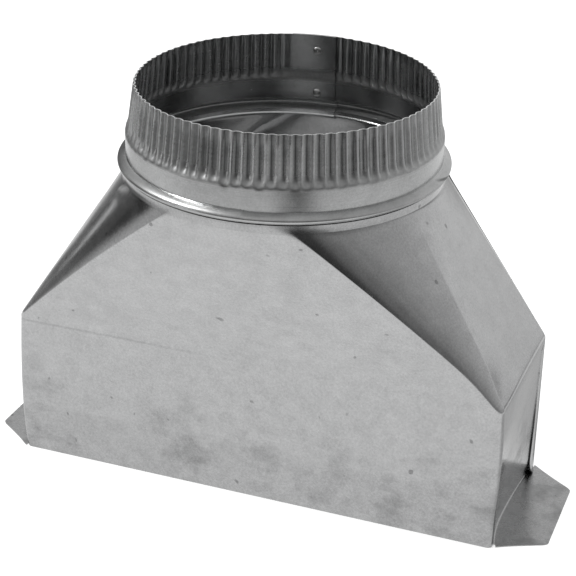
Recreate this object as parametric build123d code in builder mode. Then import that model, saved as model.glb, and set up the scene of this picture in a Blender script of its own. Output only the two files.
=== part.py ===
"""Duct transition: a rectangular throat that runs up into a round crimped collar.

Two equal half shells are folded from sheet and lap at two opposite corners. Each has one
broad wall, one end wall with a nailing flange, and its share of the round neck. The collar
is one rolled strip with a stiffening bead, a plain band and a crimped end, and two rivets
hold its lap.

Millimetres. The origin is the centre of the rectangular mouth, on the plane of the flanges.
X runs along the mouth, Y across it, and Z up to the collar.
"""

import os
from math import cos, radians, sin

from build123d import *

# Sheet and the laps in it
sheet = 0.5
lap_gap = 0.25
lap_step = sheet + lap_gap

# Rectangular throat, outside sizes
throat_length = 254.0
throat_width = 82.5
throat_height = 78.0
corner_radius = 2.5

# Transition, and the directions round the neck where flat walls meet the cones
transition_height = 86.0
broad_wall_turn = 22.5
end_wall_turn = 20.0
fold_turn = 0.5

# The seam between the half shells
lap_width = 9.5
lap_mitre = 2.5
lap_foot = 2.2
seam_turn = 37.0
tongue_turn = 45.0
tongue_sink = 0.4

# Round neck and the collar inside it
duct_bore = 152.4
neck_fit = 0.5
neck_height = 2.5

# Nailing flanges on the end walls
flange_width = 23.5
flange_mitre = 16.5
flange_fold = 1.5
flange_corner = 2.5
fold_relief = 0.5

# Collar: lip, bead, plain band and crimped end, from the neck up
lip_width = 1.2
bead_height = 6.0
bead_depth = 4.0
bead_facets = 6
bead_seat = 0.1
band_height = 11.3
shoulder_height = 2.4
crimped_height = 21.4
shoulder_drop = 0.9
rim_drop = 3.6

# Crimps
crimp_count = 90
crimp_depth = 1.3
points_per_crimp = 2
crimp_fade = 10.0
crimp_stop = 2.0

# The collar's lap and its rivets
collar_lap_turn = 18.0
collar_lap_direction = 90.0
joint_turn = 90.0
rivet_direction = 98.0
rivet_shank = 1.2
rivet_head = 2.2
rivet_crown = 1.3
rivet_dome = 1.0
rivet_flat = 0.2
rivet_play = 0.1
upper_rivet_rise = 15.6
lower_rivet_rise = 3.6

# Sizes that follow from those above
half_length = throat_length / 2
half_width = throat_width / 2
neck_base = throat_height + transition_height
neck_top = neck_base + neck_height
collar_radius = duct_bore / 2 + sheet
neck_radius = collar_radius + neck_fit + sheet
bead_base = neck_top + bead_seat
bead_top = bead_base + bead_height
band_top = bead_top + band_height
shoulder_top = band_top + shoulder_height
rim = shoulder_top + crimped_height
lap_corner_radius = corner_radius + lap_step

os.makedirs("parts", exist_ok=True)


def polar(radius, degrees, center=(0.0, 0.0)):
    """The point at a radius and direction from a centre, seen from above."""
    turn = radians(degrees)
    return (center[0] + radius * cos(turn), center[1] + radius * sin(turn))


# Half shell

# Directions round the neck, for the half shell that has the front wall and the right end wall
front = -90.0
side = 0.0
left_seam = -180.0 + seam_turn
left_crease = front - broad_wall_turn
right_crease = front + broad_wall_turn
near_crease = side - end_wall_turn
far_crease = side + end_wall_turn

lap_corner = (-half_length + corner_radius, -half_width + lap_corner_radius)
plain_corner = (half_length - corner_radius, -half_width + corner_radius)
tongue_corner = (half_length - corner_radius, half_width - lap_corner_radius)


def arc(center, radius, start, stop):
    """An arc in plan, from one direction to another."""
    return CenterArc(center, radius, start, stop - start)


def throat_edges(inset):
    """One face of the folded wall in plan, from the seam round to the tongue. Each corner bend
    is split where the creases above it start."""
    lap_radius = lap_corner_radius - inset
    radius = corner_radius - inset
    lap_cone = arc(lap_corner, lap_radius, left_seam, left_crease)
    left_fold = arc(lap_corner, lap_radius, left_crease, front)
    right_fold = arc(plain_corner, radius, front, right_crease)
    plain_cone = arc(plain_corner, radius, right_crease, near_crease)
    near_fold = arc(plain_corner, radius, near_crease, side)
    far_fold = arc(tongue_corner, radius, side, far_crease)
    tongue_cone = arc(tongue_corner, radius, far_crease, tongue_turn)
    broad_wall = Line(left_fold @ 1, right_fold @ 0)
    end_wall = Line(near_fold @ 1, far_fold @ 0)
    return [
        lap_cone,
        left_fold,
        broad_wall,
        right_fold,
        plain_cone,
        near_fold,
        end_wall,
        far_fold,
        tongue_cone,
    ]


def neck_edges(inset):
    """One face of the neck in plan, in step with the throat's edges. It steps out over the other
    shell at the seam, and in under it at the tongue."""
    radius = neck_radius - inset
    center = (0, 0)
    lap_cone = ThreePointArc(
        polar(radius + lap_step, left_seam),
        polar(radius + lap_step / 2, (left_seam + left_crease) / 2),
        polar(radius, left_crease),
    )
    tongue_cone = ThreePointArc(
        polar(radius, far_crease),
        polar(radius - tongue_sink / 2, (far_crease + tongue_turn) / 2),
        polar(radius - tongue_sink, tongue_turn),
    )
    return [
        lap_cone,
        arc(center, radius, left_crease, left_crease + fold_turn),
        arc(center, radius, left_crease + fold_turn, right_crease - fold_turn),
        arc(center, radius, right_crease - fold_turn, right_crease),
        arc(center, radius, right_crease, near_crease),
        arc(center, radius, near_crease, near_crease + fold_turn),
        arc(center, radius, near_crease + fold_turn, far_crease - fold_turn),
        arc(center, radius, far_crease - fold_turn, far_crease),
        tongue_cone,
    ]


def draw_wall(outer_edges, inner_edges):
    """Draw a stretch of wall in plan: its two faces, and a line across each free end."""
    add([*outer_edges, *inner_edges])
    Line(outer_edges[0] @ 0, inner_edges[0] @ 0)
    Line(outer_edges[-1] @ 1, inner_edges[-1] @ 1)


with BuildPart() as front_shell:
    # Throat: the folded wall, straight up from the mouth
    with BuildSketch(Plane.XY):
        with BuildLine():
            outer_bend = arc(lap_corner, lap_corner_radius, -180, left_seam)
            inner_bend = arc(lap_corner, lap_corner_radius - sheet, -180, left_seam)
            draw_wall([outer_bend, *throat_edges(0)], [inner_bend, *throat_edges(sheet)])
        make_face()
    extrude(amount=throat_height)

    # Transition: flat walls and cones run straight from the throat to their arcs of the neck
    stretches = zip(throat_edges(0), throat_edges(sheet), neck_edges(0), neck_edges(sheet))
    for outer_foot, inner_foot, outer_head, inner_head in stretches:
        with BuildSketch(Plane.XY.offset(throat_height)):
            with BuildLine():
                draw_wall([outer_foot], [inner_foot])
            make_face()
        with BuildSketch(Plane.XY.offset(neck_base)):
            with BuildLine():
                draw_wall([outer_head], [inner_head])
            make_face()
        loft(ruled=True)

    # Neck: the upright ring that holds the collar
    with BuildSketch(Plane.XY.offset(neck_base)):
        with BuildLine():
            draw_wall(neck_edges(0), neck_edges(sheet))
        make_face()
    extrude(amount=neck_height)

    # Lap: the strip that folds round the corner over the other shell's end wall
    lap_plane = Plane.YZ.offset(-half_length - lap_step)
    with BuildSketch(lap_plane):
        with BuildLine():
            Polyline(
                (lap_corner[1], lap_foot),
                (lap_width - half_width - lap_mitre, lap_foot),
                (lap_width - half_width, lap_foot + lap_mitre),
                (lap_width - half_width, throat_height - 2 * lap_mitre),
                (lap_corner[1], throat_height - lap_mitre),
                close=True,
            )
        make_face()
    extrude(amount=sheet)

    # Flange: the foot of the end wall, folded outwards
    fold_center = half_length - sheet + flange_fold
    fold_reach = half_width - lap_corner_radius - fold_relief
    with BuildSketch(Plane.XY):
        with Locations((half_length - sheet / 2, 0)):
            Rectangle(sheet, 2 * fold_reach)
    extrude(amount=flange_fold, mode=Mode.SUBTRACT)
    with BuildSketch(Plane.XZ.offset(-fold_reach)):
        with BuildLine():
            convex = CenterArc((fold_center, flange_fold), flange_fold, 180, 90)
            concave = CenterArc((fold_center, flange_fold), flange_fold - sheet, 180, 90)
            Line(convex @ 0, concave @ 0)
            Line(convex @ 1, concave @ 1)
        make_face()
    extrude(amount=2 * fold_reach)
    with BuildSketch(Plane.XY) as flange_plan:
        with BuildLine():
            Polyline(
                (fold_center, -half_width),
                (half_length + flange_width, flange_mitre - half_width),
                (half_length + flange_width, half_width - flange_mitre),
                (fold_center, half_width),
                close=True,
            )
        make_face()
        fillet(flange_plan.vertices().group_by(Axis.X)[-1], flange_corner)
    extrude(amount=sheet)
front_shell.part.label = "front_shell"

with BuildPart() as back_shell:
    # The same shell, turned half a turn about the collar's axis
    add(front_shell.part, rotation=(0, 0, 180))
back_shell.part.label = "back_shell"

# Collar

lap_start = collar_lap_direction
lap_stop = collar_lap_direction + collar_lap_turn
joint_direction = lap_stop + joint_turn
tail_center = polar(lap_step, joint_direction)
tail_turn = collar_lap_turn + joint_turn
ring_turn = 360.0 - joint_turn
crimped_turn = 360.0 - collar_lap_turn


def strip_point(degrees, inset):
    """A point on the rolled strip in plan. The strip starts inside the lap, moves out on an
    arc of its own to the joint, and then follows the full ring until it laps its start."""
    if degrees < joint_direction:
        return polar(collar_radius - lap_step - inset, degrees, tail_center)
    return polar(collar_radius - inset, degrees)


def crimp_wave(degrees):
    """How deep the crimp is at one place, from 0 to 1. Crimps die out towards the lap."""
    start_fade = (degrees - lap_stop) / crimp_fade
    stop_fade = (lap_start + 360.0 - degrees) / crimp_stop
    fade = max(0.0, min(1.0, start_fade, stop_fade))
    return fade * (1.0 - cos(radians(degrees) * crimp_count)) / 2


def wall_drop(level):
    """How far the collar's wall has drawn in at a level of the band or the crimped end."""
    if level < band_top:
        return 0.0
    return shoulder_drop + (rim_drop - shoulder_drop) * (level - shoulder_top) / crimped_height


def crimp_points(inset, scale):
    """One face of the crimps in plan, as points on their crests and roots. The points of the rim
    are those of the foot at a smaller scale."""
    count = round(crimped_turn * crimp_count * points_per_crimp / 360.0)
    turns = [lap_stop + crimped_turn * index / count for index in range(count + 1)]
    foot_drop = inset + wall_drop(band_top)
    foot = [strip_point(turn, foot_drop + crimp_depth * crimp_wave(turn)) for turn in turns]
    return [(x * scale, y * scale) for x, y in foot]


def bead_nose(radius):
    """The round nose of the bead in section, as straight runs from its foot to its top."""
    center_radius = collar_radius + bead_depth - bead_height / 2
    center_height = bead_base + bead_height / 2
    turns = [180.0 * index / bead_facets - 90.0 for index in range(bead_facets + 1)]
    return [polar(radius, turn, (center_radius, center_height)) for turn in turns]


def rivet_seat(level):
    """A rivet's plane on the outside of the lap, and its grip through both layers."""
    tilt = (wall_drop(rim) - wall_drop(shoulder_top)) / crimped_height if level > band_top else 0.0
    outer_radius = collar_radius - wall_drop(level)
    inner_x, inner_y = strip_point(rivet_direction, sheet + wall_drop(level))
    grip = outer_radius - (inner_x**2 + inner_y**2) ** 0.5
    outward = (*polar(1, rivet_direction), tilt)
    along = (*polar(1, rivet_direction + 90), 0)
    plane = Plane((*polar(outer_radius, rivet_direction), level), x_dir=along, z_dir=outward)
    return plane, grip


rivet_seats = [rivet_seat(bead_top + lower_rivet_rise), rivet_seat(band_top + upper_rivet_rise)]

with BuildPart() as collar:
    # Lip, bead and plain band: one section of bent sheet
    bore_radius = collar_radius - sheet
    tail_axis = Axis((*tail_center, 0), (0, 0, -1))
    joint_plane = Plane(
        origin=(0, 0, 0),
        x_dir=(*polar(1, joint_direction), 0),
        z_dir=(*polar(1, joint_direction - 90), 0),
    )
    with BuildSketch(joint_plane) as strip_section:
        with BuildLine():
            outer_nose = bead_nose(bead_height / 2)
            inner_nose = bead_nose(bead_height / 2 - sheet)
            Polyline(
                *outer_nose,
                (collar_radius, bead_top),
                (collar_radius, band_top),
                (bore_radius, band_top),
                (bore_radius, bead_top - sheet),
                *reversed(inner_nose),
                (bore_radius, bead_base + sheet),
                (bore_radius, neck_base + sheet),
                (bore_radius - lip_width, neck_base + sheet),
                (bore_radius - lip_width, neck_base),
                (collar_radius, neck_base),
                (collar_radius, bead_base),
                close=True,
            )
        make_face()
    revolve(axis=Axis.Z, revolution_arc=ring_turn)
    revolve(strip_section.sketch, axis=tail_axis, revolution_arc=tail_turn)

    # A ledge on top of the band closes the feet of the crimps
    ledge_radius = collar_radius - wall_drop(band_top) - crimp_depth - sheet / 2
    with BuildSketch(joint_plane) as ledge_section:
        with BuildLine():
            Polyline(
                (collar_radius, band_top),
                (collar_radius, band_top + sheet),
                (ledge_radius, band_top + sheet),
                (ledge_radius, band_top),
                close=True,
            )
        make_face()
    revolve(axis=Axis.Z, revolution_arc=ring_turn - collar_lap_turn)
    revolve(ledge_section.sketch, axis=tail_axis, revolution_arc=joint_turn)

    # The crimps stand on the ledge and draw in towards the rim
    rim_scale = (collar_radius - rim_drop) / (collar_radius - wall_drop(band_top))
    for level, scale in ((band_top + sheet, 1.0), (rim, rim_scale)):
        with BuildSketch(Plane.XY.offset(level)):
            with BuildLine():
                outer_wave = Polyline(crimp_points(0, scale))
                inner_wave = Polyline(crimp_points(sheet, scale))
                Line(outer_wave @ 0, inner_wave @ 0)
                Line(outer_wave @ 1, inner_wave @ 1)
            make_face()
    loft(ruled=True)

    # The lap has no crimps: its inner and outer layers draw in over a short shoulder
    lap_levels = [(band_top, 0.0), (shoulder_top, shoulder_drop), (rim, rim_drop)]
    for center, radius in ((tail_center, collar_radius - lap_step), ((0, 0), collar_radius)):
        for level, drop in lap_levels:
            with BuildSketch(Plane.XY.offset(level)):
                with BuildLine():
                    outer_layer = CenterArc(center, radius - drop, lap_start, collar_lap_turn)
                    inner_layer = CenterArc(center, radius - drop - sheet, lap_start, collar_lap_turn)
                    Line(outer_layer @ 0, inner_layer @ 0)
                    Line(outer_layer @ 1, inner_layer @ 1)
                make_face()
        loft(ruled=True)

    # Rivet holes, through both layers of the lap and square to the wall
    for plane, grip in rivet_seats:
        with BuildSketch(plane.offset(grip)):
            Circle(rivet_shank + rivet_play)
        extrude(amount=-3 * grip, mode=Mode.SUBTRACT)
collar.part.label = "collar"

# Rivets

with BuildPart() as collar_rivets:
    for plane, grip in rivet_seats:
        with BuildSketch(Plane(plane.origin, x_dir=plane.z_dir, z_dir=plane.x_dir)):
            with BuildLine():
                dome_base = -grip - rivet_play
                flat_base = rivet_play
                Polyline(
                    (dome_base - rivet_dome, 0),
                    (dome_base - rivet_dome, rivet_crown),
                    (dome_base, rivet_head),
                    (dome_base, rivet_shank),
                    (flat_base, rivet_shank),
                    (flat_base, rivet_head),
                    (flat_base + rivet_flat, rivet_head),
                    (flat_base + rivet_flat, 0),
                    close=True,
                )
            make_face()
        revolve(axis=Axis(plane.origin, plane.z_dir))
collar_rivets.part.label = "collar_rivets"

for piece in (front_shell, back_shell, collar, collar_rivets):
    export_step(piece.part, f"parts/{piece.part.label}.step")
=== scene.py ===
"""The looks of a duct transition in galvanised sheet: two folded half shells that lap at two
corners, a rolled collar with a bead and a crimped end, and the rivets of the collar's lap.

Metres, in the part's own frame: the origin is the centre of the mouth, X runs along the mouth,
Y across it towards the back, and Z up the collar. Directions in plan are degrees from +X.
"""

from math import cos, radians, sin

import bpy
import numpy as np
from mathutils import Matrix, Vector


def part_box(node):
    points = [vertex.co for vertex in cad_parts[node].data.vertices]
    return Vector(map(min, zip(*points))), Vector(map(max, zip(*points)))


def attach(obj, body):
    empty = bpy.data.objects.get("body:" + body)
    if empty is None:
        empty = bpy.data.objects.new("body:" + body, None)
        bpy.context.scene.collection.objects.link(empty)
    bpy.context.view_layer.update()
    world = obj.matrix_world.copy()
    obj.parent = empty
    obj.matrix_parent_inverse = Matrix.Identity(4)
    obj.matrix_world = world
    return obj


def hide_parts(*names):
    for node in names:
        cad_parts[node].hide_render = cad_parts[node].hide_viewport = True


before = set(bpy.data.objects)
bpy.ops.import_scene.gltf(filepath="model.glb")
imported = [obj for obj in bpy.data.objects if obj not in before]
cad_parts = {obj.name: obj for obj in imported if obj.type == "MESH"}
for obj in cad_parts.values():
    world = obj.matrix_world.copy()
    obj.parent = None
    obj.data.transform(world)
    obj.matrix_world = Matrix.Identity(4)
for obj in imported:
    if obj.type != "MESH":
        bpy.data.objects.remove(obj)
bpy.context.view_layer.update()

mm = 0.001

# Sizes read from the frame
shell_low, shell_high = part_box("front_shell")
collar_low, collar_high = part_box("collar")
flange_tip = shell_high.x
neck_top = shell_high.z
neck_radius = -shell_low.y
neck_base = collar_low.z
rim = collar_high.z
bead_reach = collar_high.x

# Sheet and throat
sheet = 0.5 * mm
lap_step = 0.75 * mm
throat_length = 254.0 * mm
throat_width = 82.5 * mm
throat_height = 78.0 * mm
throat_bend = 1.8 * mm
neck_bend = 1.6 * mm
bulge_power = 2.2
corner_radius = 2.5 * mm
plain_radius = 4.3 * mm

# Directions round the front shell, and how its tongue sinks under the other shell's seam
front = -90.0
side = 0.0
left_seam = -143.0
left_crease = -112.5
right_crease = -67.5
near_crease = -20.0
far_crease = 20.0
tongue_stop = 45.0
fold_turn = 0.5
tongue_sink = 0.4 * mm

# Lap strip and flange
lap_width = 9.5 * mm
lap_mitre = 2.5 * mm
foot_mitre = 2.0 * mm
flange_mitre = 16.5 * mm
near_mitre = 13.4 * mm
near_inset = 1.8 * mm
flange_fold = 1.5 * mm
flange_corner = 2.5 * mm
flange_corner_cut = 0.55 * flange_corner
fold_relief = 0.5 * mm

# Handwork on the shells: bowed creases, uneven walls and neck, and an end wall that leans in
crease_bow = 2.6 * mm
end_crease_bow = 0.91 * mm
neck_sag = 1.9 * mm
neck_sag_share = 0.35
oil_can_depth = 0.11 * mm
end_wall_lean = 4.2 * mm
lean_middle = -14.0 * mm
lean_near = 27.0 * mm
lean_far = 54.0 * mm
lean_top = throat_height - 4.0 * mm

# More handwork: a corner drawn down, one swollen, a seam that lifts, a strip that stands off
corner_shift = np.array([-1.1, 0.2, -3.3]) * mm
corner_fade = 17.0 * mm
corner_swell = 1.9 * mm
swell_reach = 30.0 * mm
seam_gap = 0.8 * mm
seam_gap_drop = 6.5 * mm
seam_gap_spread = 3.2 * mm
seam_gap_share = 0.3
strip_gap = 0.4 * mm
strip_foot = 0.75 * mm
strip_follow = 0.7
tab_reach = 2.2 * mm
tab_height = 9.0 * mm

# Collar up to the top of its plain band, and its lap
collar_radius = neck_radius - 1.0 * mm
bead_base = neck_top + 0.1 * mm
bead_height = 6.0 * mm
bead_depth = bead_reach - 0.03 * mm - collar_radius
bead_fullness = 0.85
band_height = 11.3 * mm
lip_width = 1.2 * mm
lip_bend = 1.0 * mm
lap_start = 90.0
lap_turn = 18.0
joint_direction = 198.0

# Crimped end: each base is below the top of the plain band, and each top above it
first_row_base = 1.4 * mm
shoulder_drop = 0.9 * mm
shoulder_base = 1.0 * mm
shoulder_top = 5.0 * mm
rim_drop = 3.6 * mm
crimp_count = 90
crimp_depth = 1.3 * mm
crimp_base = 0.9 * mm
crimp_top = 2.8 * mm
crimp_power = 1.5
crimp_fade = 10.0
crimp_stop = 2.0
rim_zone = 7.0 * mm
rim_loss = 0.35
points_per_crimp = 8

# Handwork on the collar: uneven and soft crimps, a nick in the bead, a rim bent out and in
depth_spread = 0.1
start_spread = 0.4 * mm
lean_spread = 0.03
soft_direction = 366.0
soft_width = 17.0
soft_loss = 0.5
nick_depth = 0.5 * mm
nick_height = 1.6 * mm
nick_start, nick_full, nick_stop = 276.6, 277.4, 300.0
rim_out, rim_out_direction = 2.0 * mm, 105.0
rim_in, rim_in_direction = 0.7 * mm, 200.0

# Rivets: the lower one in the plain band, the upper one where the wall has drawn in and leans
rivet_direction = 98.0
lower_rivet_rise = 3.6 * mm
upper_rivet_rise = 15.6 * mm
upper_rivet_drop = 2.57 * mm
upper_rivet_tilt = 0.126
rivet_shank = 1.1 * mm
rivet_head = 2.1 * mm
rivet_dome = 1.0 * mm
rivet_play = 0.1 * mm
rivet_slack = 0.12 * mm
rivet_flat = 0.2 * mm
rivet_edge = 0.02 * mm
rivet_sides = 32
on_axis = 1e-6

# Sizes that follow from those above
half_length = throat_length / 2
half_width = throat_width / 2
lap_corner_radius = corner_radius + lap_step
transition_height = neck_base - throat_height
bead_middle = bead_base + bead_height / 2
bead_top = bead_base + bead_height
band_top = bead_top + band_height
lap_stop = lap_start + lap_turn

chance = np.random.default_rng(41)

# Surfaces


def polar(radius, degrees, center=(0.0, 0.0)):
    """Points in plan at radii and directions from a centre: centre + radius (cos, sin)."""
    turn = np.radians(degrees)
    x = center[0] + radius * np.cos(turn)
    y = center[1] + radius * np.sin(turn)
    return np.stack([x, y], axis=-1)


def raised(plan, height):
    """Points in space from points in plan and heights."""
    height = np.broadcast_to(height, plan.shape[:-1])
    return np.concatenate([plan, height[..., None]], axis=-1)


def grid_of(x, y, z):
    """A grid of points from coordinates that may each leave a row or a column out."""
    return np.stack(np.broadcast_arrays(x, y, z), axis=-1)


def curve_rows(first, corner, last, count):
    """Rows of a bend: the quadratic curve (1-q)^2 first + 2q(1-q) corner + q^2 last."""
    q = np.linspace(0, 1, count)[:, None, None]
    return (1 - q) ** 2 * first + 2 * q * (1 - q) * corner + q**2 * last


def smooth_step(values, start, stop):
    """0 before start, 1 after stop, and 3s^2 - 2s^3 between."""
    part = np.clip((values - start) / (stop - start), 0, 1)
    return part * part * (3 - 2 * part)


def arch(rise):
    """A parabola that is 0 at a share of 0 and of 1, and 1 half way."""
    return 4 * rise * (1 - rise)


def facing(grid):
    """Unit normals of a grid of points: its step along a row crossed with its step up a column."""
    normal = np.cross(np.gradient(grid, axis=1), np.gradient(grid, axis=0))
    return normal / np.maximum(np.linalg.norm(normal, axis=2, keepdims=True), 1e-12)


def sheet_faces(rows, columns):
    """Faces of one bent sheet: its outer grid, its inner grid turned the other way, and the four
    strips between them."""
    outer = np.arange(rows * columns).reshape(rows, columns)
    inner = outer + rows * columns

    def strip(a, b, c, d):
        return np.stack([a, b, c, d], axis=-1).reshape(-1, 4)

    return np.concatenate(
        [
            strip(outer[:-1, :-1], outer[:-1, 1:], outer[1:, 1:], outer[1:, :-1]),
            strip(inner[:-1, :-1], inner[1:, :-1], inner[1:, 1:], inner[:-1, 1:]),
            strip(inner[0, :-1], inner[0, 1:], outer[0, 1:], outer[0, :-1]),
            strip(outer[-1, :-1], outer[-1, 1:], inner[-1, 1:], inner[-1, :-1]),
            strip(outer[:-1, 0], outer[1:, 0], inner[1:, 0], inner[:-1, 0]),
            strip(outer[:-1, -1], inner[:-1, -1], inner[1:, -1], outer[1:, -1]),
        ]
    )


def make_piece(name, points, faces, sharp=40.0):
    """A mesh piece of one body, smooth but for edges sharper than an angle in degrees."""
    mesh = bpy.data.meshes.new(name)
    mesh.from_pydata(points.tolist(), [], faces.tolist())
    mesh.validate()
    mesh.shade_smooth()
    mesh.set_sharp_from_angle(angle=radians(sharp))
    piece = bpy.data.objects.new(name, mesh)
    bpy.context.scene.collection.objects.link(piece)
    return piece


def bent_sheet(name, grids):
    """One piece of sheet from grids of its outer face. Each inner face is the outer one moved
    back along its normals by the sheet's thickness, and nothing reaches below the mouth."""
    points, faces, total = [], [], 0
    for grid in grids:
        inner = grid - sheet * facing(grid)
        inner[..., 2] = np.maximum(inner[..., 2], 0.0)
        points += [grid.reshape(-1, 3), inner.reshape(-1, 3)]
        faces.append(sheet_faces(*grid.shape[:2]) + total)
        total += 2 * grid.shape[0] * grid.shape[1]
    return make_piece(name, np.concatenate(points), np.concatenate(faces))


# Half shell

lap_corner = (-half_length + corner_radius, -half_width + lap_corner_radius)
plain_corner = (half_length - plain_radius, -half_width + plain_radius)
tongue_corner = (half_length - corner_radius, half_width - lap_corner_radius)
fold_center = half_length - sheet + flange_fold
fold_reach = half_width - lap_corner_radius - fold_relief


def bend_columns(count, center, radius, start, stop, head_start, head_stop, head_radii):
    """Columns over a corner bend: foot on the corner's arc, head on the neck, both in even
    steps of direction. A cone, so its columns are straight."""
    share = np.arange(count) / count
    foot = polar(radius, start + share * (stop - start), center)
    head_radius = head_radii[0] + share * (head_radii[1] - head_radii[0])
    head = polar(head_radius, head_start + share * (head_stop - head_start))
    return foot, head, head, share


def flat_columns(count, foot_start, foot_stop, head_start, head_stop):
    """Columns over a flat wall: foot on a straight line, head on the neck, chord on the straight
    line between the neck's end points."""
    share = np.arange(count) / count
    ends = polar(neck_radius, np.array([head_start, head_stop]))
    foot = np.outer(1 - share, foot_start) + np.outer(share, foot_stop)
    chord = np.outer(1 - share, ends[0]) + np.outer(share, ends[1])
    head = polar(neck_radius, head_start + share * (head_stop - head_start))
    return foot, head, chord, share


# The wall's columns, stretch by stretch, from the seam round to the tongue
seam_radii = (neck_radius + lap_step, neck_radius)
neck_radii = (neck_radius, neck_radius)
tongue_radii = (neck_radius, neck_radius - tongue_sink)
stretches = [
    bend_columns(24, lap_corner, lap_corner_radius, left_seam, left_crease,
                 left_seam, left_crease, seam_radii),
    bend_columns(5, lap_corner, lap_corner_radius, left_crease, front,
                 left_crease, left_crease + fold_turn, neck_radii),
    flat_columns(66, polar(lap_corner_radius, front, lap_corner),
                 polar(plain_radius, front, plain_corner),
                 left_crease + fold_turn, right_crease - fold_turn),
    bend_columns(8, plain_corner, plain_radius, front, right_crease,
                 right_crease - fold_turn, right_crease, neck_radii),
    bend_columns(40, plain_corner, plain_radius, right_crease, near_crease,
                 right_crease, near_crease, neck_radii),
    bend_columns(8, plain_corner, plain_radius, near_crease, side,
                 near_crease, near_crease + fold_turn, neck_radii),
    flat_columns(40, polar(plain_radius, side, plain_corner),
                 polar(lap_corner_radius, side, tongue_corner),
                 near_crease + fold_turn, far_crease - fold_turn),
    bend_columns(5, tongue_corner, lap_corner_radius, side, far_crease,
                 far_crease - fold_turn, far_crease, neck_radii),
    bend_columns(16, tongue_corner, lap_corner_radius, far_crease, tongue_stop,
                 far_crease, tongue_stop, tongue_radii),
]
(lap_cone, left_fold, broad_wall, right_fold, plain_cone,
 near_fold, end_wall, far_fold, tongue_cone) = range(len(stretches))
wall_foot, wall_head, wall_chord, wall_share = (np.concatenate(part) for part in zip(*stretches))
stretch = np.repeat(np.arange(len(stretches)), [len(part[3]) for part in stretches])


def crease_pull(fold, power_before, power_after):
    """How strongly each column follows a crease: 1 over its fold, with a power of the share
    over the stretch before it and over the one after it."""
    return np.select(
        [stretch == fold - 1, stretch == fold, stretch == fold + 1],
        [wall_share**power_before, 1.0, (1 - wall_share) ** power_after],
        0.0,
    )


# How far each column bows in plan, half way up
bow_along = crease_bow * (crease_pull(right_fold, 4, 1.5) - crease_pull(left_fold, 1.5, 4))
bow_across = end_crease_bow * (crease_pull(far_fold, 3, 3) - crease_pull(near_fold, 3, 3))
column_bow = np.stack([bow_along, bow_across], axis=-1)

# How far a column lies inside its flat wall, from 0 at the folds to 1
wall_middle = np.where(np.isin(stretch, [broad_wall, end_wall]), arch(wall_share), 0.0)

# How much lower the right cone and the end wall meet the neck than the broad wall does
over_end_wall = np.isin(stretch, [near_fold, end_wall, far_fold])
neck_drop = neck_sag * np.select(
    [stretch == plain_cone, over_end_wall, stretch == tongue_cone],
    [np.clip(wall_share / neck_sag_share, 0, 1), 1.0, 1 - wall_share],
    0.0,
)


def slope_row(rise):
    """One row of the transition at a share of its height. Foot to neck in a straight line, which
    gets there sooner where the neck starts lower, plus the walls' bulge towards the round, which
    grows with a power of the same share, plus the bow of the creases, a parabola in rise."""
    near_head = np.minimum(rise * transition_height / (transition_height - neck_drop), 1.0)
    near_head = near_head[:, None]
    plan = (1 - near_head) * wall_foot + near_head * wall_chord
    plan = plan + near_head**bulge_power * (wall_head - wall_chord)
    return raised(plan + arch(rise) * column_bow, throat_height + rise * transition_height)


def oil_can(grid):
    """The slight unevenness of a large flat sheet: three long waves over the wall, strongest at
    its middle and gone at its folds, its foot and the neck."""
    x, y, z = (grid[..., axis] / mm for axis in range(3))
    wave = np.sin(x / 19.0 + z / 31.0) + 0.8 * np.sin(z / 13.0 - x / 41.0 + y / 17.0)
    wave = wave + 0.5 * np.sin(x / 9.5 + z / 21.0 + 1.7)
    height = np.clip(z / 25.0, 0, 1) * np.clip((neck_base / mm - z) / 30.0, 0, 1)
    shift = oil_can_depth * wave * height * np.sqrt(wall_middle)[None, :]
    return grid + shift[..., None] * facing(grid)


def foot_lean(reach):
    """How far the end wall's foot stands in from the corner bends, at places across it:
    (1 - u^2)^0.8, where u is 0 a little before the middle and 1 near each corner."""
    off = reach - lean_middle
    u = np.clip(np.where(off < 0, -off / lean_near, off / lean_far), 0, 1)
    return end_wall_lean * (1 - u**2) ** 0.8


def drawn_corner(grid):
    """The point where crease, corner bend and throat meet, drawn down and inwards: a shift that
    fades with the distance d from it, exp(-(d / corner_fade)^2)."""
    away = np.linalg.norm(grid - np.array([half_length, -half_width, throat_height]), axis=2)
    return grid + np.exp(-((away / corner_fade) ** 2))[..., None] * corner_shift


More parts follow.
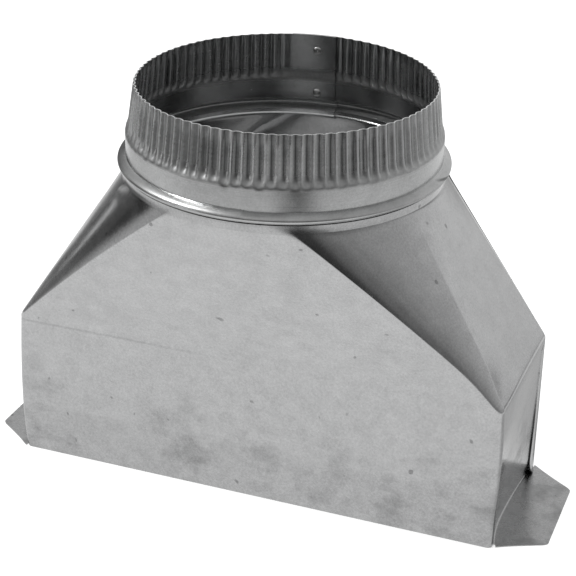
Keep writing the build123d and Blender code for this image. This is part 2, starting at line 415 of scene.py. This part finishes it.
def shell_wall():
    """The folded wall, from the seam round to the tongue: throat, soft bend, transition, bend
    into the neck, and neck. Along the end wall it stops short of the mouth, at the flange's fold,
    and its foot leans in. The seam's edge lifts just under the neck."""
    across = wall_foot[:, 1]
    along_flange = (stretch == end_wall) & (np.abs(across) <= fold_reach)
    low = raised(wall_foot, np.where(along_flange, flange_fold, 0.0))
    throat_stop = raised(wall_foot, throat_height - throat_bend)
    throat_edge = raised(wall_foot, throat_height)
    neck_edge = raised(wall_head, neck_base)
    neck_start = raised(wall_head, neck_base + neck_bend)
    neck_stop = raised(wall_head, neck_top)
    first, last = throat_bend / transition_height, 1 - neck_bend / transition_height
    climb = np.linspace(0, 1, 24)[:-1, None, None]
    grid = np.concatenate(
        [
            (1 - climb) * low + climb * throat_stop,
            curve_rows(throat_stop, throat_edge, slope_row(first), 8),
            np.stack([slope_row(rise) for rise in np.linspace(first, last, 58)[1:-1]]),
            curve_rows(slope_row(last), neck_edge, neck_start, 7),
            neck_stop[None],
        ]
    )
    grid = drawn_corner(oil_can(grid))
    on_end_wall = wall_foot[:, 0] > half_length - plain_radius
    leaning = np.where(on_end_wall, foot_lean(across), 0.0)[None, :]
    grid[..., 0] -= leaning * np.clip(1 - grid[..., 2] / lean_top, 0, 1)
    edge = np.where(stretch == lap_cone, np.clip(1 - wall_share / seam_gap_share, 0, 1) ** 2, 0.0)
    off_level = (grid[..., 2] - neck_base + seam_gap_drop) / seam_gap_spread
    lift = seam_gap * edge[None, :] * np.exp(-(off_level**2))
    return grid + lift[..., None] * facing(grid)


def corner_strip():
    """The strip that folds round the lap corner: flat over the other shell's end wall, then the
    start of the corner bend. Its free edge is mitred at both ends. The flat part follows the
    wall's lean in part, stands off it by a parabola in height, and its foot turns out over the
    flange as a small tab."""
    flat_count, bend_count = 14, 12
    run = (1 - np.arange(flat_count) / flat_count)[:, None]
    free_edge = np.array([-half_length - lap_step, lap_width - half_width])
    inner_edge = np.array([-half_length - lap_step, lap_corner[1]])
    flat = run * free_edge + (1 - run) * inner_edge
    bend = polar(lap_corner_radius, np.linspace(-180.0, left_seam, bend_count), lap_corner)
    plan = np.concatenate([flat, bend])
    across = np.clip((plan[:, 1] - lap_corner[1]) / (free_edge[1] - lap_corner[1]), 0, 1)
    low = strip_foot + np.clip(across * lap_width - (lap_width - foot_mitre), 0, None)
    low[flat_count:] = np.linspace(strip_foot, 0, bend_count)
    high = throat_height - lap_mitre - lap_mitre * across
    high[flat_count:] = np.linspace(throat_height - lap_mitre, throat_height, bend_count)
    climb = np.concatenate([np.linspace(0, 0.14, 14)[:-1], np.linspace(0.14, 1, 30)])[:, None]
    height = (1 - climb) * low + climb * high
    followed = strip_follow * foot_lean(-plan[:, 1]) * np.clip(1 - height / lean_top, 0, 1)
    stand_off = strip_gap * across**1.4 * arch(np.clip(height / throat_height, 0, 1))
    tab = np.clip(1 - (height - strip_foot) / tab_height, 0, 1) ** 2.5
    x = plan[:, 0] + followed * (across > 0) - stand_off - tab_reach * across**0.5 * tab
    return grid_of(x, plan[:, 1], height)


def flange_fold_grid():
    """The fold at the foot of the end wall: a quarter circle along the wall, hollow side up."""
    turns = np.radians(np.linspace(270, 180, 18))[:, None]
    reach = np.linspace(-fold_reach, fold_reach, 24)[None, :]
    radius = flange_fold - sheet
    x = fold_center - foot_lean(reach) + radius * np.cos(turns)
    return grid_of(x, reach, flange_fold + radius * np.sin(turns))


def flange_plate():
    """The nailing flange: flat, narrowed by a straight mitre at each side, the near one smaller,
    corners rounded."""
    depth = np.concatenate([np.linspace(0, 0.12, 10)[:-1], np.linspace(0.12, 1, 14)])[:, None]
    side_share = np.linspace(-1, 1, 40)[None, :]
    near_cut = near_mitre * (1 - depth) + near_inset * depth
    extent = half_width - np.where(side_share < 0, near_cut, flange_mitre * (1 - depth))
    corner = np.clip(1 - depth * (flange_tip - fold_center) / flange_corner, 0, 1)
    extent = extent - flange_corner_cut * (1 - np.sqrt(1 - corner**2))
    reach = side_share * extent
    inner = fold_center - foot_lean(reach)
    return grid_of(flange_tip + depth * (inner - flange_tip), reach, sheet)


def swollen_corner(grid):
    """The front wall's lap corner, which stands out a little below its middle: a parabola in
    (z / throat height)^0.75 that fades with the distance along the wall."""
    rise = np.clip(grid[..., 2] / throat_height, 0, 1) ** 0.75
    near = np.clip(1 - (grid[..., 0] + half_length) / swell_reach, 0, 1) ** 2
    swollen = grid.copy()
    swollen[..., 0] -= corner_swell * arch(rise) * near
    return swollen


shell_grids = [shell_wall(), corner_strip(), flange_fold_grid(), flange_plate()]
front_shell = bent_sheet("front_half_shell", [swollen_corner(grid) for grid in shell_grids])
half_turn = np.array([-1.0, -1.0, 1.0])
back_shell = bent_sheet("back_half_shell", [grid * half_turn for grid in shell_grids])
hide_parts("front_shell")
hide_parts("back_shell")

# Collar

tail_center = polar(lap_step, joint_direction)


def collar_section():
    """Outer face of the rolled strip in section, as radius and height: turned-in lip, plain foot,
    round bead as deep as a power of the cosine of its share of height, and plain band."""
    lip_edge = [(collar_radius - sheet - lip_width, neck_base)]
    lip_middle = (collar_radius - lip_bend, neck_base + lip_bend)
    swell = np.linspace(-1, 1, 27)
    bead_radius = collar_radius + bead_depth * np.cos(swell * np.pi / 2) ** bead_fullness
    return np.concatenate(
        [
            np.array(lip_edge),
            polar(lip_bend, np.linspace(-90, 0, 6), lip_middle),
            np.stack([bead_radius, bead_middle + swell * bead_height / 2], axis=-1),
            [(collar_radius, bead_top + band_height * part) for part in (0.05, 0.3, 0.6, 0.82)],
        ]
    )


def end_share(height):
    """The share of the crimped end's height, 0 at the band and 1 at the rim."""
    return np.clip((height - band_top) / (rim - band_top), 0, 1)


def hand_bend(degrees, height):
    """How far the crimped end is bent out of round: out at the back by cos^2 of the direction and
    in at the left by cos^4, both growing evenly up to the rim."""
    back = np.clip(np.cos(np.radians(degrees - rim_out_direction)), 0, 1) ** 2
    left = np.clip(np.cos(np.radians(degrees - rim_in_direction)), 0, 1) ** 4
    return end_share(height) * (rim_out * back - rim_in * left)


def strip_of_collar():
    """The rolled strip as a grid: columns run with its turn and rows up its section. Over the
    crimped end the radius drops by a soft shoulder and a straight taper, and by each crimp's
    hollow, 1 - c^1.5 with c = (1 + cos) / 2 of the crimp's own turn. Crimps deepen over a short
    run above the band, grow shallower again at the rim, and die out towards the lap. The strip
    starts inside its lap, a step inwards about a centre of its own, and moves out at the joint.
    With it comes each point's share of ridge, which the finish turns into lighter, burnished ridges
    that also carry a painted highlight, and into painted shade in the grooves."""
    columns = points_per_crimp * round(crimp_count * (360 + lap_turn) / 360) + 1
    turn = np.linspace(lap_start, lap_stop + 360, columns)
    foot_rows = np.linspace(band_top - first_row_base, band_top + shoulder_top, 15)
    end_rows = np.concatenate([foot_rows, np.linspace(foot_rows[-1], rim, 10)[1:]])
    end_section = np.stack([np.full(end_rows.shape, collar_radius), end_rows], axis=-1)
    section = np.concatenate([collar_section(), end_section])
    radius, height = section[:, 0][:, None], section[:, 1][:, None]

    crimp = turn * crimp_count / 360
    number = np.floor(crimp).astype(int)
    number = number - number.min()
    depth = crimp_depth * (1 + depth_spread * chance.standard_normal(number.max() + 2))
    start_shift = start_spread * chance.standard_normal(number.max() + 2)
    lean = lean_spread * chance.standard_normal(number.max() + 2)
    leaned = crimp + lean[number] * np.sin(np.pi * (crimp % 1.0)) ** 2
    crest = ((1 + np.cos(2 * np.pi * leaned)) / 2) ** crimp_power
    after_lap, before_lap = turn - lap_stop, lap_start + 360 - turn
    fade = np.clip(np.minimum(after_lap / crimp_fade, before_lap / crimp_stop), 0, 1)
    fade = fade * (1 - soft_loss * np.exp(-(((turn - soft_direction) / soft_width) ** 4)))

    shoulder = smooth_step(height, band_top - shoulder_base, band_top + shoulder_top)
    shoulder = shoulder_drop * shoulder
    taper = (rim_drop - shoulder_drop) * end_share(height)
    crimp_start = band_top - crimp_base + start_shift[number][None, :]
    start = smooth_step(height, crimp_start, band_top + crimp_top)
    rim_fade = 1 - rim_loss * smooth_step(height, rim - rim_zone, rim)
    crimps = (depth[number] * fade * (1 - crest))[None, :] * start * rim_fade
    # Ridge share: lighter burnished ridges with a painted highlight, and painted shade in the
    # grooves.
    ridge_wear_and_shade = (fade * (1.5 * crest - 0.5))[None, :] * start
    radius = radius - shoulder - taper - crimps

    nick = smooth_step(turn, nick_start, nick_full) - smooth_step(turn, nick_full, nick_stop)
    near_edge = np.exp(-(((height - bead_top) / nick_height) ** 2))
    height = height - nick_depth * nick[None, :] * near_edge

    inside = (turn < joint_direction)[None, :]
    center = np.where(inside[..., None], tail_center, 0.0)
    radius = radius - np.where(inside, lap_step, 0.0) + hand_bend(turn[None, :], height)
    direction = np.radians(turn)[None, :]
    x = center[..., 0] + radius * np.cos(direction)
    y = center[..., 1] + radius * np.sin(direction)
    return grid_of(x, y, height), np.broadcast_to(ridge_wear_and_shade, x.shape)


collar_grid, ridge_wear_and_shade_values = strip_of_collar()
collar = bent_sheet("rolled_collar", [collar_grid])
# The ridge share goes to the finish: burnish and a painted highlight on ridges, painted shade in
# grooves.
ridge_wear_and_shade_layer = collar.data.attributes.new("ridge_wear_and_shade", "FLOAT", "POINT")
ridge_wear_and_shade_layer.data.foreach_set("value", np.concatenate([ridge_wear_and_shade_values.ravel(), -ridge_wear_and_shade_values.ravel()]))
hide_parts("collar")


def turned_solid(profile, origin, axis, sides):
    """A surface turned about an axis: profile points (along the axis, radius) times even turns.
    It starts and stops on the axis."""
    axis = axis / np.linalg.norm(axis)
    first = np.cross(axis, np.array([0.0, 0.0, 1.0]))
    first = first / np.linalg.norm(first)
    second = np.cross(axis, first)
    turns = 2 * np.pi * np.arange(sides) / sides
    ring = np.outer(np.cos(turns), first) + np.outer(np.sin(turns), second)
    profile = np.asarray(profile)
    points = origin + profile[:, 0, None, None] * axis + profile[:, 1, None, None] * ring
    index = np.arange(len(profile) * sides).reshape(len(profile), sides)
    after = np.roll(index, -1, axis=1)
    faces = np.stack([index[:-1], after[:-1], after[1:], index[1:]], axis=-1).reshape(-1, 4)
    return points.reshape(-1, 3), faces


def rivet_profile():
    """A rivet's outline, as distance along its axis and radius: a domed head inside the lap, a
    shank, and a flat head outside."""
    inside = -(sheet + lap_step + rivet_slack)
    turns = np.radians(np.linspace(0, 90, 9))
    dome = [(inside - rivet_dome * cos(a), max(rivet_head * sin(a), on_axis)) for a in turns]
    shank = [(inside, rivet_head * 0.98), (inside, rivet_shank), (rivet_play, rivet_shank)]
    tip = rivet_play + rivet_flat
    flat_head = [(rivet_play, rivet_head), (tip - rivet_edge, rivet_head * 0.96)]
    return dome + shank + flat_head + [(tip, rivet_head * 0.8), (tip, on_axis)]


def lap_rivets():
    """Two rivets through the collar's lap, one in the plain band and one in the crimped end."""
    points, faces, total = [], [], 0
    for level, drop, tilt in (
        (bead_top + lower_rivet_rise, 0.0, 0.0),
        (band_top + upper_rivet_rise, upper_rivet_drop, upper_rivet_tilt),
    ):
        radius = collar_radius - drop + hand_bend(rivet_direction, level)
        origin = np.append(polar(radius, rivet_direction), level)
        axis = np.append(polar(1.0, rivet_direction), tilt)
        rivet, rivet_faces = turned_solid(rivet_profile(), origin, axis, rivet_sides)
        points.append(rivet)
        faces.append(rivet_faces + total)
        total += len(rivet)
    return make_piece("lap_rivets", np.concatenate(points), np.concatenate(faces))


rivets = lap_rivets()
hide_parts("collar_rivets")

for piece, slot_name in (
    (front_shell, "shell_sheet"),
    (back_shell, "shell_sheet"),
    (collar, "collar_sheet"),
    (rivets, "rivet_metal"),
):
    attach(piece, "root")

# Finishes: the tone and roughness of clean metal, how high its surface texture stands, and tints
shell_tone, shell_roughness, shell_texture = 0.515, 0.17, 0.06 * mm
collar_tone, collar_roughness, collar_texture = 0.53, 0.24, 0.05 * mm
rivet_tone, rivet_roughness, rivet_texture = 0.6, 0.3, 0.04 * mm
shell_tint, collar_tint, rivet_tint = (0.995, 1.0, 1.005), (0.99, 1.0, 1.0), (1.0, 1.0, 0.99)


class Field:
    """A value that varies over a surface: an output socket that takes plain maths signs."""

    def __init__(self, nodes, socket):
        self.nodes = nodes
        self.socket = socket

    def maths(self, operation, *values):
        """A maths node over values."""
        return self.nodes.node("ShaderNodeMath", {"operation": operation}, dict(enumerate(values)))

    def __add__(self, other):
        return self.maths("ADD", self, other)

    def __sub__(self, other):
        return self.maths("SUBTRACT", self, other)

    def __rsub__(self, other):
        return self.maths("SUBTRACT", other, self)

    def __mul__(self, other):
        return self.maths("MULTIPLY", self, other)

    def __pow__(self, other):
        return self.maths("POWER", self, other)

    def __abs__(self):
        return self.maths("ABSOLUTE", self)

    __radd__ = __add__
    __rmul__ = __mul__


class Nodes:
    """The node tree of a material or a world, with one output."""

    def __init__(self, owner, output_kind):
        owner.use_nodes = True
        self.tree = owner.node_tree
        self.tree.nodes.clear()
        self.output = self.tree.nodes.new(output_kind)

    def node(self, kind, settings, sockets, result=0):
        """Any node: its settings first, then the values or links of its sockets."""
        made = self.tree.nodes.new(kind)
        for name, value in settings.items():
            setattr(made, name, value)
        for name, value in sockets.items():
            if isinstance(value, Field):
                self.tree.links.new(value.socket, made.inputs[name])
            else:
                made.inputs[name].default_value = value
        return Field(self, made.outputs[result])

    def ramp(self, value, start, stop, low=0.0, high=1.0):
        """low before start, high after stop, and an even change between."""
        return self.node(
            "ShaderNodeMapRange",
            {"clamp": True},
            {"Value": value, "From Min": start, "From Max": stop, "To Min": low, "To Max": high},
        )

    def rays(self):
        """1 for rays from the camera, from gloss and through glass, each in a field of its own."""
        kinds = ("Is Camera Ray", "Is Glossy Ray", "Is Transmission Ray")
        outputs = self.node("ShaderNodeLightPath", {}, {}).socket.node.outputs
        return [Field(self, outputs[kind]) for kind in kinds]

    def glow(self, strength):
        """Even white light of a strength."""
        return self.node("ShaderNodeEmission", {}, {"Strength": strength})

    def show(self, shader):
        """Gives a shader to the output."""
        self.tree.links.new(shader.socket, self.output.inputs["Surface"])


class Finish(Nodes):
    """One node material. Its position is the object's own, in metres."""

    def __init__(self, name):
        self.material = bpy.data.materials.new(name)
        super().__init__(self.material, "ShaderNodeOutputMaterial")
        self.position = self.node("ShaderNodeTexCoord", {}, {}, "Object")

    def split(self):
        """X, Y and Z of the position."""
        outputs = self.node("ShaderNodeSeparateXYZ", {}, {0: self.position}).socket.node.outputs
        return [Field(self, outputs[axis]) for axis in range(3)]

    def noise(self, scales, detail=2.0, roughness=0.5):
        """Smooth noise about 0, from -0.5 to 0.5, with a number of waves a metre on each axis."""
        place = self.node(
            "ShaderNodeVectorMath", {"operation": "MULTIPLY"}, {0: self.position, 1: scales}
        )
        value = self.node(
            "ShaderNodeTexNoise",
            {"noise_dimensions": "3D"},
            {"Vector": place, "Scale": 1.0, "Detail": detail, "Roughness": roughness},
        )
        return value - 0.5

    def even_noise(self, scale, detail=2.0, roughness=0.5):
        """Noise with the same number of waves a metre on all axes."""
        return self.noise((scale, scale, scale), detail, roughness)

    def spangle(self, size):
        """The crystal flowers of hot-dip zinc: each cell has its own even tone, about 0."""
        warp = self.even_noise(260.0, 1.0)
        shift = self.node(
            "ShaderNodeCombineXYZ", {}, {0: warp * (3 * mm), 1: warp * (2 * mm), 2: warp * (3 * mm)}
        )
        place = self.node(
            "ShaderNodeVectorMath", {"operation": "ADD"}, {0: self.position, 1: shift}
        )
        cell = self.node(
            "ShaderNodeTexVoronoi",
            {"feature": "F1"},
            {"Vector": place, "Scale": 1.0 / size},
            "Color",
        )
        return self.node("ShaderNodeSeparateColor", {}, {0: cell}) - 0.5

    def metal(self, tone, tint, roughness, texture, texture_height):
        """Bare metal: tone is the share of light it returns, tint its colour's balance."""
        color = self.node(
            "ShaderNodeCombineColor", {}, {part: tone * tint[part] for part in range(3)}
        )
        normal = self.node(
            "ShaderNodeBump",
            {},
            {"Strength": 1.0, "Distance": texture_height, "Height": texture},
            "Normal",
        )
        shader = self.node(
            "ShaderNodeBsdfPrincipled",
            {},
            {"Base Color": color, "Metallic": 1.0, "Roughness": roughness, "Normal": normal},
        )
        self.show(shader)
        return self.material


def band(value, start, full, fade, stop):
    """1 between full and fade, 0 before start and after stop, and an even change between."""
    ramp = value.nodes.ramp
    return ramp(value, start, full) * ramp(value, fade, stop, 1.0, 0.0)


def peak(value, middle, spread):
    """1 at a middle value, 0 at a spread away and beyond, and an even change between."""
    return value.nodes.ramp(abs(value - middle), 0.0, spread, 1.0, 0.0)


def distance_to(x, y):
    """Distance in plan from the origin."""
    return (x * x + y * y) ** 0.5


def bearing(x, y):
    """Direction in plan, in degrees from +X."""
    return x.maths("ARCTAN2", y, x) * (180 / np.pi)


def shell_finish():
    """Galvanised sheet, dulled by handling: broad clouds, faint spangle, rolling streaks along the
    wall, smudges near the mouth and a few dark specks. It is darker low down, most of all at the
    right, with painted shade along the bend under the slope and under the collar, and duller on
    the flanges."""
    finish = Finish("galvanised_shell")
    x, _, z = finish.split()
    clouds = finish.noise((13.0, 13.0, 17.0), 3.0)
    mottle = finish.even_noise(95.0, 3.0, 0.6)
    grain = finish.even_noise(980.0, 2.0, 0.7)
    streaks = finish.noise((9.0, 9.0, 340.0), 2.0)
    cells = finish.spangle(6 * mm)
    foot = finish.ramp(z, 12 * mm, 75 * mm, 1.0, 0.0)
    low_zone = finish.ramp(z + mottle * (4 * mm), 25 * mm, 29 * mm, 1.0, 0.0)
    right_foot = finish.ramp(x, -20 * mm, 120 * mm) * foot
    # Painted shade: the bend between throat and slope is darkened, most at the left, less to the
    # right.
    bend_shade = band(z, 74.5 * mm, 75.2 * mm, 75.7 * mm, 76.3 * mm)
    bend_shade = bend_shade * finish.ramp(x, -75 * mm, -10 * mm, 1.0, 0.15)
    # Painted shade: the neck and its bend, under the collar's bead, are darkened.
    neck_shade = finish.ramp(z, neck_base - 2.2 * mm, neck_base - 1.6 * mm)
    flat_flange = finish.ramp(z, 1 * mm, 2 * mm, 1.0, 0.0)
    smudge = finish.ramp(finish.noise((38.0, 38.0, 55.0), 3.0, 0.65), 0.02, 0.2) * foot
    speck = finish.ramp(finish.even_noise(210.0, 0.0), 0.33, 0.37)
    tone = shell_tone + clouds * 0.08 + mottle * 0.14 + grain * 0.26 + streaks * 0.03
    tone = tone + cells * 0.035 - foot * 0.03 - low_zone * 0.035 - bend_shade * 0.08
    tone = tone - smudge * 0.12 - speck * 0.2 - neck_shade * 0.06 - right_foot * 0.045
    roughness = shell_roughness + clouds * 0.1 + mottle * 0.1 + cells * 0.04 + smudge * 0.12
    roughness = roughness + flat_flange * 0.09
    texture = mottle * 0.5 + grain * 0.2 + cells * 0.12
    return finish.metal(tone, shell_tint, roughness, texture, shell_texture)


def collar_finish():
    """The collar's strip: cleaner galvanised sheet with fine streaks round the roll. The ridges are
    lighter, burnished and with a painted highlight, and the grooves carry painted shade. The rim's
    cut edge and the lip carry a painted highlight. The crimps' feet and the outside under the bead
    carry painted shade, and the slanting edge of a joint at the right is darker."""
    finish = Finish("galvanised_collar")
    x, y, z = finish.split()
    reach = distance_to(x, y)
    around = bearing(x, y)
    clouds = finish.noise((16.0, 16.0, 30.0), 3.0)
    mottle = finish.even_noise(120.0, 3.0, 0.6)
    grain = finish.even_noise(980.0, 2.0, 0.7)
    streaks = finish.noise((14.0, 14.0, 900.0), 2.0)
    cells = finish.spangle(5 * mm)
    # Ridges: burnished wear plus a painted highlight; grooves: painted shade.
    ridge_wear_and_shade = finish.node("ShaderNodeAttribute", {"attribute_name": "ridge_wear_and_shade"}, {}, "Fac")
    # Painted shade: the crimps' feet are darkened, and also made rougher.
    shaded_crimp_foot = band(z, band_top - 2 * mm, band_top, band_top + 3 * mm, band_top + 6 * mm)
    # Painted shade on the outside under the bead, and a painted highlight on the turned-in lip
    # there.
    painted_below_bead = finish.ramp(z, bead_base - 0.3 * mm, bead_base + 0.6 * mm, 1.0, 0.0)
    on_bead = band(z, bead_base, bead_base + 1 * mm, bead_top - 1 * mm, bead_top)
    # Painted highlight: the rim's cut edge is made brighter, and rougher.
    rim_edge_highlight = finish.ramp(z, rim - 0.16 * mm, rim - 0.08 * mm)
    outside = finish.ramp(reach, collar_radius - 0.35 * mm, collar_radius - 0.15 * mm)
    lip_highlight = finish.ramp(reach, collar_radius - 0.8 * mm, collar_radius - 0.6 * mm, 1.0, 0.0)
    slant = z + (around + 4.5) * (0.26 * mm)
    joint = peak(slant, 171.5 * mm, 0.7 * mm) * peak(around, 2.2, 8.5)
    joint = finish.ramp(joint, 0.0, 0.35) * outside
    tone = collar_tone + clouds * 0.1 + mottle * 0.2 + grain * 0.2 + streaks * 0.05
    tone = tone + cells * 0.03 + ridge_wear_and_shade * 0.16 - painted_below_bead * outside * 0.3
    tone = tone + lip_highlight * painted_below_bead * 0.3 - shaded_crimp_foot * 0.06 - joint * 0.34 + rim_edge_highlight * 0.36
    roughness = collar_roughness + clouds * 0.1 + mottle * 0.12 + streaks * 0.05 + ridge_wear_and_shade * 0.06
    roughness = roughness + shaded_crimp_foot * 0.2 + on_bead * 0.1 + rim_edge_highlight * 0.3
    texture = mottle * 0.4 + grain * 0.2 + streaks * 0.3
    return finish.metal(tone, collar_tint, roughness, texture, collar_texture)


def rivet_finish():
    """Plain bright rivets."""
    finish = Finish("rivet_metal")
    mottle = finish.even_noise(400.0, 2.0)
    tone = rivet_tone + mottle * 0.16
    roughness = rivet_roughness + mottle * 0.2
    return finish.metal(tone, rivet_tint, roughness, mottle, rivet_texture)


shell_material = shell_finish()
for piece in (front_shell, back_shell):
    piece.data.materials.append(shell_material)
collar.data.materials.append(collar_finish())
rivets.data.materials.append(rivet_finish())

# Floor, backdrop and light
floor_level = -0.2 * mm
floor_reach = 4.0
floor_white = 0.62
mouth_edge = 4.0 * mm
# Share of the reflected floor glow kept under the mouth: a painted shadow.
shadowed_mouth_share = 0.25
ring_radius = 1.7
ring_height = 1.6
ring_sides = 90
world_light, world_gloss = 0.62, 0.45

# Pale places on the floor in reflections: direction, spread, start and full distance, strength
floor_lights = (
    (66.0, 34.0, 0.42, 0.6, 0.45),
    (5.0, 40.0, 0.6, 0.8, 0.25),
    (-158.0, 22.0, 0.42, 0.6, 0.35),
)


def stage_card(name, points, faces, material):
    """A card of the stage, which is no piece of the part."""
    mesh = bpy.data.meshes.new(name)
    mesh.from_pydata(points, [], faces)
    card = bpy.data.objects.new(name, mesh)
    card.data.materials.append(material)
    bpy.context.scene.collection.objects.link(card)
    return card


def floor_finish():
    """A pale floor that takes the shadow, with white added where it is seen directly outside the
    mouth. Reflections see it bright round the object and darker far off, with pale places at the
    left, behind and at the right, dark ones at the right front and beside the right flange, and
    dim under the mouth, where a shadow is painted."""
    finish = Finish("pale_floor")
    camera, gloss, glass = finish.rays()
    x, y, _ = finish.split()
    distance = distance_to(x, y)
    angle = bearing(x, y)
    level = finish.ramp(distance, 0.42, 0.66, 0.92, 0.2)
    back_left = band(angle, 104.0, 112.0, 146.0, 151.0) * band(distance, 0.42, 0.6, 0.8, 0.95)
    level = level + back_left * 0.6
    for middle, spread, start, full, strength in floor_lights:
        level = level + peak(angle, middle, spread) * finish.ramp(distance, start, full) * strength
    right_front = peak(angle, -61.0, 17.0) * finish.ramp(distance, 0.3, 0.42, 0.0, 0.92)
    beside = finish.ramp(x, 128 * mm, 140 * mm) * finish.ramp(y, -60 * mm, 0.0)
    beside = beside * finish.ramp(distance, 0.3, 0.4, 0.42, 0.0)
    patch = (1.0 - right_front) * (1.0 - beside)
    off_ends = finish.ramp(abs(x), half_length - mouth_edge, half_length)
    off_sides = finish.ramp(abs(y), half_width - mouth_edge, half_width)
    off_mouth = x.maths("MAXIMUM", off_ends, off_sides)
    paper = finish.node("ShaderNodeBsdfDiffuse", {}, {"Color": (0.8, 0.8, 0.8, 1.0)})
    added = finish.glow((camera + glass) * off_mouth * floor_white)
    seen = finish.node("ShaderNodeAddShader", {}, {0: paper, 1: added})
    # Painted shadow: reflections see the floor dimmed under the mouth.
    reflected = finish.glow(level * patch * (shadowed_mouth_share + (1 - shadowed_mouth_share) * off_mouth))
    finish.show(finish.node("ShaderNodeMixShader", {}, {0: gloss, 1: seen, 2: reflected}))
    return finish.material


def horizon_finish():
    """What stands round the studio, as reflections see it: dark in front and at the left, growing
    pale from the right front round to the back, with a narrow light streak at the left and one
    bright opening at the left front. Higher up it is pale all round, and palest behind."""
    finish = Finish("studio_horizon")
    x, y, z = finish.split()
    angle = bearing(x, y)
    rise = finish.ramp(angle, -54.0, -44.0, 0.05, 0.2) + finish.ramp(angle, -35.0, 50.0, 0.0, 0.56)
    fall = finish.ramp(angle, 100.0, 125.0, 0.85, 0.1)
    low_level = angle.maths("MINIMUM", rise, fall) + peak(angle, 163.0, 3.5) * 0.9
    high_level = 0.5 + peak(angle, 100.0, 70.0) * 0.2
    lift = finish.ramp(z, 0.5, 1.5)
    window = peak(angle, -138.0, 12.0) * band(z, 0.1, 0.2, 0.5, 0.7)
    behind = peak(angle, 120.0, 28.0) * finish.ramp(z, 0.55, 0.8)
    level = low_level * (1 - lift) + high_level * lift + window * 3.4 + behind * 0.45
    finish.show(finish.glow(level))
    return finish.material


def floor():
    """A square floor just under the mouth."""
    corners = ((-1, -1), (1, -1), (1, 1), (-1, 1))
    points = [(x * floor_reach, y * floor_reach, floor_level) for x, y in corners]
    stage_card("floor", points, [(0, 1, 2, 3)], floor_finish())


def horizon_ring():
    """An upright ring round the studio, facing inwards, that only reflections see."""
    ring = polar(ring_radius, 360.0 * np.arange(ring_sides) / ring_sides)
    points = np.concatenate([raised(ring, 0.0), raised(ring, ring_height)])
    index = np.arange(ring_sides)
    after = np.roll(index, -1)
    faces = np.stack([after, index, index + ring_sides, after + ring_sides], axis=-1)
    card = stage_card("horizon_ring", points.tolist(), faces.tolist(), horizon_finish())
    card.visible_camera = False
    card.visible_diffuse = False
    card.visible_shadow = False
    card.visible_transmission = False


def studio_world():
    """White where it is seen directly or through glass, dimmer as light, dimmest in gloss."""
    world = bpy.data.worlds.new("studio")
    bpy.context.scene.world = world
    studio = Nodes(world, "ShaderNodeOutputWorld")
    camera, gloss, glass = studio.rays()
    strength = world_light + (camera + glass) * (1 - world_light)
    strength = strength - gloss * (world_light - world_gloss)
    white = (1.0, 1.0, 1.0, 1.0)
    studio.show(studio.node("ShaderNodeBackground", {}, {"Color": white, "Strength": strength}))


def placed(holder, right, up, back, place):
    """Puts a lamp or camera at a place, with its own axes along three directions."""
    rows = [(right[row], up[row], back[row], place[row]) for row in range(3)]
    holder.matrix_world = Matrix([*rows, (0, 0, 0, 1)])
    bpy.context.scene.collection.objects.link(holder)
    return holder


def soft_lamp(name, place, target, size, power):
    """A square lamp at a place, facing a target."""
    lamp = bpy.data.lights.new(name, "AREA")
    lamp.shape = "SQUARE"
    lamp.size = size
    lamp.energy = power
    back = np.subtract(place, target)
    back = back / np.linalg.norm(back)
    right = np.cross((0.0, 0.0, 1.0), back)
    right = right / np.linalg.norm(right)
    up = np.cross(back, right)
    return placed(bpy.data.objects.new(name, lamp), right, up, back, place)


floor()
horizon_ring()
studio_world()
soft_lamp("key_lamp", (-1.03, -0.28, 1.3), (0.0, 0.0, 0.15), size=0.32, power=7.0)
top_lamp = soft_lamp("top_lamp", (0.2, 0.1, 1.6), (0.0, 0.0, 0.1), size=1.0, power=4.0)
top_lamp.visible_glossy = False

# Camera, solved from the photo: place, angles in degrees, and focal length and width in pixels
camera_place = np.array([263.448, -710.663, 467.106]) * mm
camera_turn, camera_pitch, camera_roll = 20.121, 25.946, 1.158
focal_pixels, photo_pixels = 1677.417, 576
film_width = 36.0


def photo_camera():
    """The photo's camera: turned about Z, then looking down, then rolled about its view."""
    turn, pitch, roll = radians(camera_turn), radians(camera_pitch), radians(camera_roll)
    look = np.array([-sin(turn) * cos(pitch), cos(turn) * cos(pitch), -sin(pitch)])
    right = np.array([cos(turn), sin(turn), 0.0])
    up = np.cross(right, look)
    rolled_right = cos(roll) * right + sin(roll) * up
    rolled_up = cos(roll) * up - sin(roll) * right
    lens = bpy.data.cameras.new("camera")
    lens.sensor_width = film_width
    lens.lens = focal_pixels / photo_pixels * film_width
    camera = bpy.data.objects.new("camera", lens)
    return placed(camera, rolled_right, rolled_up, -look, camera_place)


scene = bpy.context.scene
scene.camera = photo_camera()
scene.view_settings.view_transform = "Standard"
